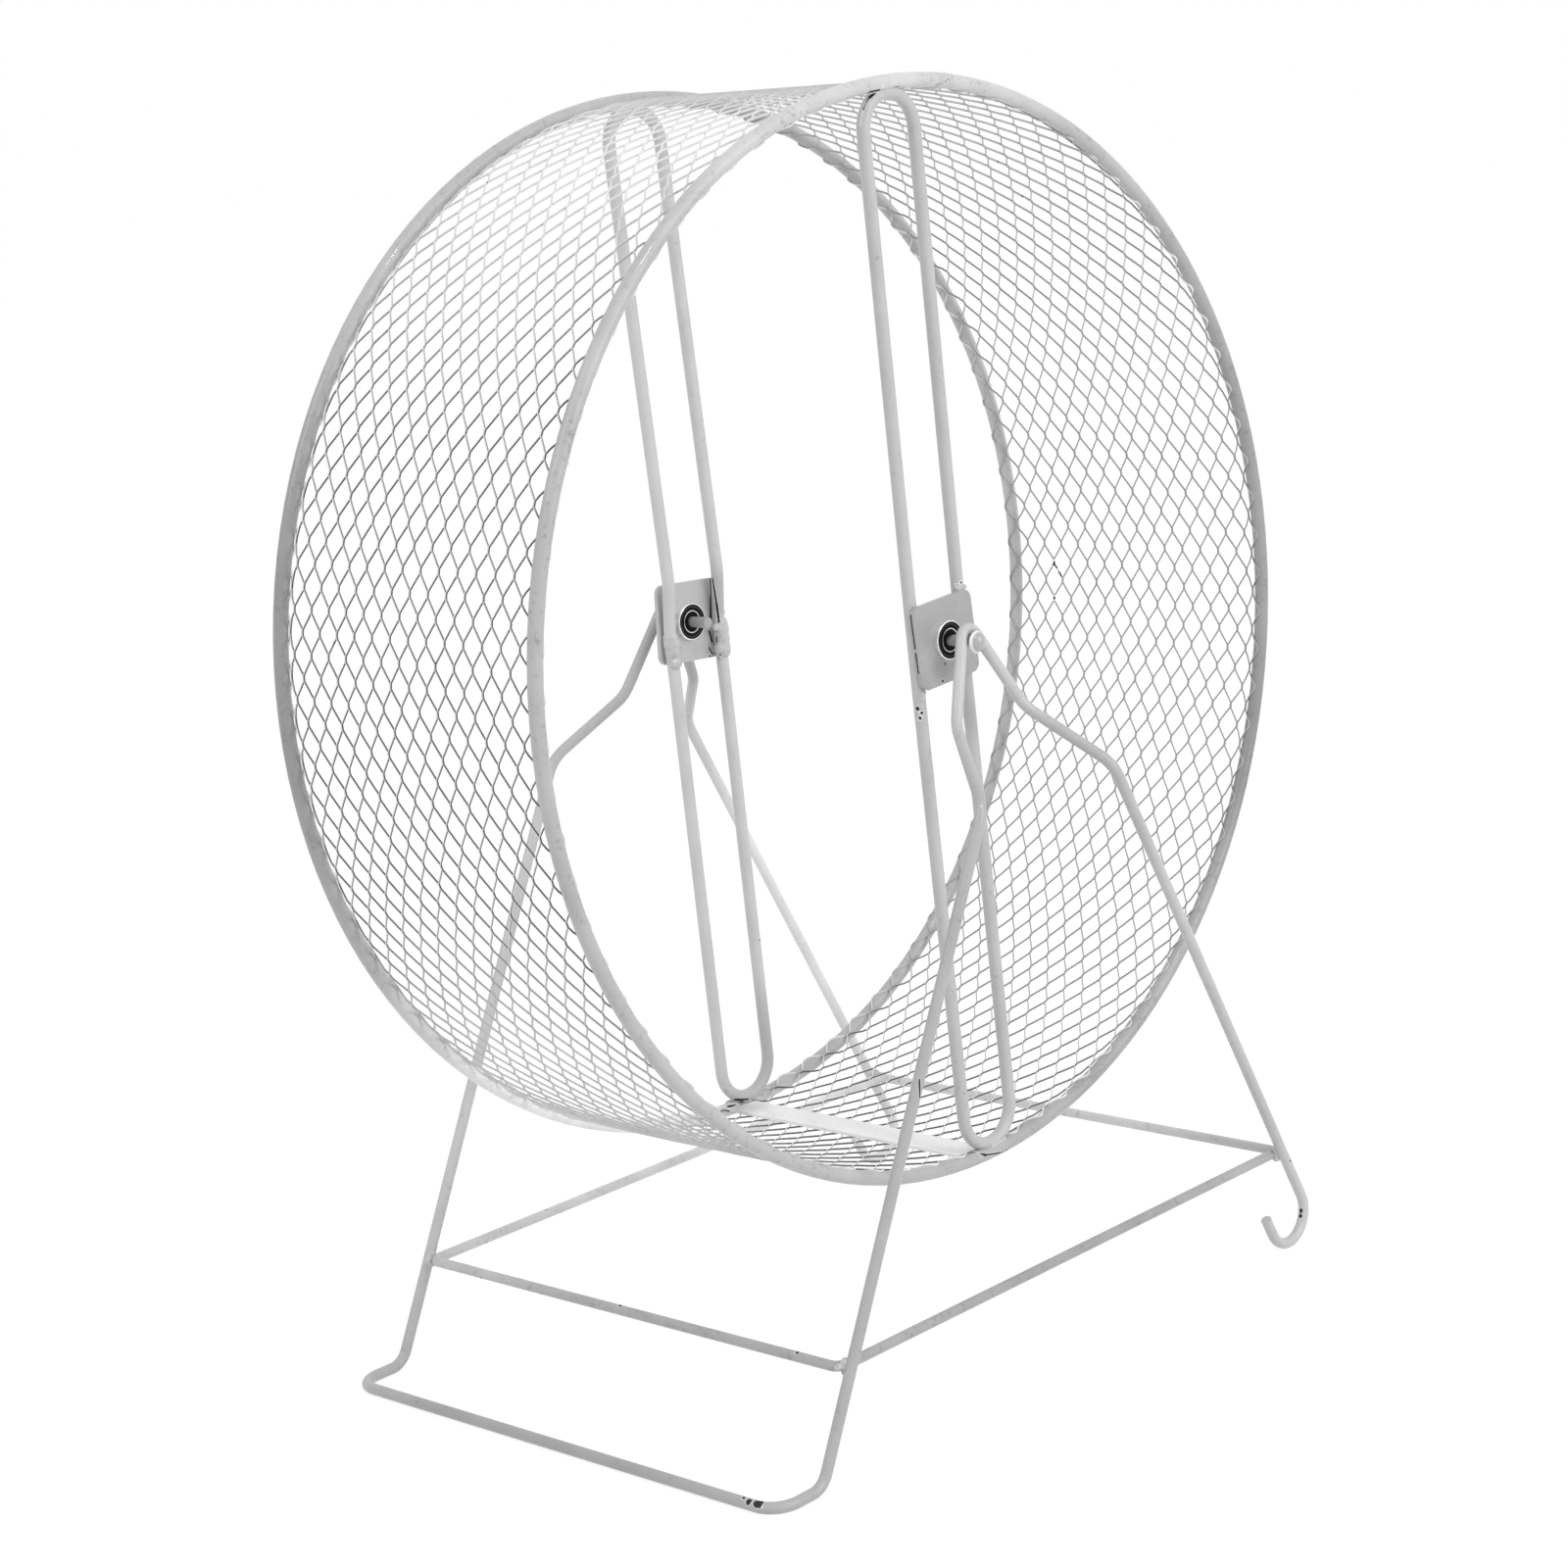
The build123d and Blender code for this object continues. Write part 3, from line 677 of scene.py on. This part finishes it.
# Weld beads: lumps run together into one skin, then roughened
welds = {
    "voxel": 0.22 * mm,
    "grain": 0.9 * mm,
    "roughness": 0.06 * mm,
    "relax": 0.6,
    "relaxSteps": 5,
    "uneven": 0.03,  # of the lumps of one bead
    "finish": coats["weldCoat"],
}


def fuseWeld(name, body, lumps, s):
    work = bmesh.new()
    for place, size in lumps:
        size = size if isinstance(size, tuple) else (size, size, size)
        turn = Matrix.Rotation(-wheel["turn"], 4, "Y")
        spot = Matrix.Translation(place) @ turn @ Matrix.Diagonal((*(v * mm for v in size), 1))
        bmesh.ops.create_icosphere(work, subdivisions=3, radius=1, matrix=spot)
    mesh = bpy.data.meshes.new(name + "Lumps")
    work.to_mesh(mesh)
    work.free()
    holder = bpy.data.objects.new(name, mesh)
    bpy.context.collection.objects.link(holder)
    skin = holder.modifiers.new("skin", "REMESH")
    skin.mode, skin.voxel_size, skin.use_smooth_shade = "VOXEL", s["voxel"], True
    relax = holder.modifiers.new("relax", "SMOOTH")
    relax.factor, relax.iterations = s["relax"], s["relaxSteps"]
    fused = bpy.data.meshes.new_from_object(holder.evaluated_get(bpy.context.evaluated_depsgraph_get()))
    holder.modifiers.clear()
    holder.data = fused
    bpy.data.meshes.remove(mesh)
    fused.name = name
    for vertex in fused.vertices:
        swell = noise.noise(vertex.co / s["grain"]) + 0.5 * noise.noise(vertex.co / s["grain"] * 2.3)
        vertex.co += vertex.normal * swell * s["roughness"]
    fused.polygons.foreach_set("use_smooth", [True] * len(fused.polygons))
    fused.materials.clear()
    fused.materials.append(s["finish"])
    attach(holder, body)
    return holder


hoopY = wheel["hoopDepth"] / mm
endUp = 136.4  # where a loop's end meets the hoop


# A row of lumps between two places of one side, each given as sideways, depth, up
def bead(side, start, end, size, count=5):
    places = (tuple(a + (b - a) * i / (count - 1) for a, b in zip(start, end)) for i in range(count))
    return [
        (onWheel(across, side * depth, up), size * (1 + welds["uneven"] * ((i * 7) % 3 - 1)))
        for i, (across, depth, up) in enumerate(places)
    ]


fuseWeld("frontTopWeld", "wheel", bead(-1, (-3.4, 44.6, endUp), (3.8, 44.6, endUp), 1.1), welds)
fuseWeld("frontBottomWeld", "wheel", bead(-1, (-0.6, 45.4, -endUp - 0.3), (4.4, 45.2, -endUp), 1.25), welds)
fuseWeld("rearTopWeld", "wheel", bead(1, (-3.6, 44.6, endUp), (3.6, 44.6, endUp), 1.15), welds)
fuseWeld("rearBottomWeld", "wheel", bead(1, (-1.0, 44.2, -endUp), (4.6, 44.4, -endUp), 1.2), welds)

fuseWeld("rearPlateLeftWeld", "wheel", bead(1, (-9.4, 43.7, -2.6), (-9.2, 43.6, -8.8), 2.2, 9) + [
    (onWheel(-7.6, 44.7, -4.6), (1.6, 1.1, 2.4)), (onWheel(-7.4, 44.7, -8.0), (1.5, 1.0, 2.2)),
    (onWheel(-9.4, 42.9, -9.4), (1.9, 1.7, 1.7)), (onWheel(-6.4, 45.5, 0.4), (0.7, 0.5, 0.6)),
], welds)
fuseWeld("rearPlateRightWeld", "wheel", bead(1, (9.9, 43.8, -2.4), (9.5, 43.6, -10.2), 2.15, 10) + [
    (onWheel(7.0, 42.9, -2.9), (1.25, 1.1, 1.1)), (onWheel(7.4, 42.9, -8.8), (1.5, 1.5, 1.5)),
    (onWheel(8.0, 43.6, -11.9), (0.7, 0.9, 0.6)), (onWheel(9.4, 43.9, -13.2), (0.8, 0.9, 0.7)),
    (onWheel(11.2, 43.8, 0.4), (0.8, 0.8, 0.7)),
], welds)
fuseWeld("frontPlateWelds", "wheel", [
    (onWheel(8.4, -45.3, 11.3), (1.2, 0.9, 0.8)), (onWheel(9.8, -45.5, 11.6), (1.3, 0.9, 0.7)),
    (onWheel(7.4, -44.9, 12.4), (0.45, 0.45, 0.9)),
], welds)
fuseWeld("frontRunBurr", "wheel", [
    (onWheel(-9.9, -45.2, -13.2), (0.8, 0.7, 1.2)), (onWheel(-10.2, -45.1, -15.4), (0.6, 0.6, 1.0)),
    (onWheel(-9.4, -45.3, -11.8), (1.4, 0.9, 0.7)),
], welds)
joint = {"from": 17.6, "step": 1.3, "radius": 138.0, "lump": (1.1, 2.0, 2.0), "uneven": 0.15, "count": 5}
lumps = []
for i in range(joint["count"]):
    across = joint["from"] + i * joint["step"]
    wide, deep, high = joint["lump"]
    place = onWheel(across, -hoopY, math.sqrt(joint["radius"]**2 - across**2))
    lumps.append((place, (wide, deep + joint["uneven"] * (i % 2), high)))
fuseWeld("hoopJoint", "wheel", lumps, welds)
print("wheel welds made")

# Welds of the base wire to the legs
baseLow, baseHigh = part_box("base_wire")
baseTop = (baseLow.z + baseHigh.z) / 2 / mm
corners = {
    "nearFootWeld": (-89.6, -75.9), "farFootWeld": (-89.9, 75.9),
    "farHookWeld": (89.9, 75.9), "nearHookWeld": (88.4, -75.7),
}
corner = {
    "lifts": (-1.1, 0.3, 1.4), "lump": (1.3, 1.2, 1.2),
    "tail": (1.6, 0.9, 0.4), "tailLump": (1.2, 1.0, 1.0),  # tail: outward, inward, up
}
for name, (x, y) in corners.items():
    outward, inward, lift = corner["tail"]
    tail = onStand(x + math.copysign(outward, x), y - math.copysign(inward, y), baseTop + lift)
    lumps = [(onStand(x, y, baseTop + lift), corner["lump"]) for lift in corner["lifts"]]
    fuseWeld(name, "stand", lumps + [(tail, corner["tailLump"])], welds)
print("stand welds made")


# Floor, lamps and surroundings
setting = {
    "floorSize": 6.0, "floorTone": 0.86, "floorRoughness": 0.9, "fibreSize": 3 * mm, "fibreHeight": 0.05 * mm,
    "whiteShare": 0.82, "shadowShare": 0.32, "skyLight": 0.66,
}


def seenRays(nodes):  # 1 for what the camera sees, itself or through a gloss
    ray = nodes.add("ShaderNodeLightPath")
    return ray.output("Is Camera Ray").most(ray.output("Is Glossy Ray")).most(ray.output("Is Transmission Ray"))


def makeFloor(s):
    work = bmesh.new()
    bmesh.ops.create_circle(work, cap_ends=True, segments=64, radius=s["floorSize"])
    mesh = bpy.data.meshes.new("floor")
    work.to_mesh(mesh)
    work.free()
    floor = bpy.data.objects.new("floor", mesh)
    bpy.context.collection.objects.link(floor)
    material = bpy.data.materials.new("floorPaper")
    material.use_nodes = True
    material.node_tree.nodes.clear()
    nodes = Nodes(material.node_tree)
    point = nodes.add("ShaderNodeTexCoord", output="Object")
    fibre = nodes.cloud(point, s["fibreSize"], 3)
    bump = nodes.add("ShaderNodeBump", values={
        "Strength": 0.1, "Distance": 1.0, "Height": fibre * s["fibreHeight"],
    })
    paper = nodes.add("ShaderNodeBsdfPrincipled", values={
        "Base Color": grey(s["floorTone"]), "Roughness": s["floorRoughness"], "Normal": bump,
    })
    shows = seenRays(nodes)
    white = nodes.add("ShaderNodeEmission", values={"Color": grey(1), "Strength": shows * s["whiteShare"]})
    clear = nodes.add("ShaderNodeBsdfTransparent", values={"Color": grey(0)})
    shadowed = nodes.add("ShaderNodeMixShader", values={0: shows * (1 - s["shadowShare"]), 1: paper, 2: clear})
    shader = nodes.add("ShaderNodeAddShader", values={0: shadowed, 1: white})
    nodes.add("ShaderNodeOutputMaterial", values={"Surface": shader})
    mesh.materials.append(material)


def makeSky(s):
    world = bpy.data.worlds.new("studio")
    world.use_nodes = True
    world.node_tree.nodes.clear()
    bpy.context.scene.world = world
    nodes = Nodes(world.node_tree)
    strength = seenRays(nodes) * (1 - s["skyLight"]) + s["skyLight"]
    sky = nodes.add("ShaderNodeBackground", values={"Color": grey(1), "Strength": strength})
    nodes.add("ShaderNodeOutputWorld", values={"Surface": sky})


lamps = [
    {"name": "keyLamp", "place": (-1.3, 0.2, 1.3), "size": 0.9, "power": 5.0},
    {"name": "fillLamp", "place": (0.4, -1.5, 0.8), "size": 1.2, "power": 8.0},
    {"name": "glintLamp", "place": (-0.18, -1.04, 1.59), "size": 0.1, "power": 3.5},
]


def makeLamp(s):
    data = bpy.data.lights.new(s["name"], "AREA")
    data.shape, data.size, data.energy = "DISK", s["size"], s["power"]
    lamp = bpy.data.objects.new(s["name"], data)
    lamp.location = s["place"]
    aim = Vector((0, 0, wheel["axleHeight"])) - Vector(s["place"])
    lamp.rotation_euler = aim.to_track_quat("-Z", "Y").to_euler()
    bpy.context.collection.objects.link(lamp)


makeFloor(setting)
makeSky(setting)
for lamp in lamps:
    makeLamp(lamp)
bpy.context.scene.view_settings.view_transform = "Standard"
print("floor and lamps placed")
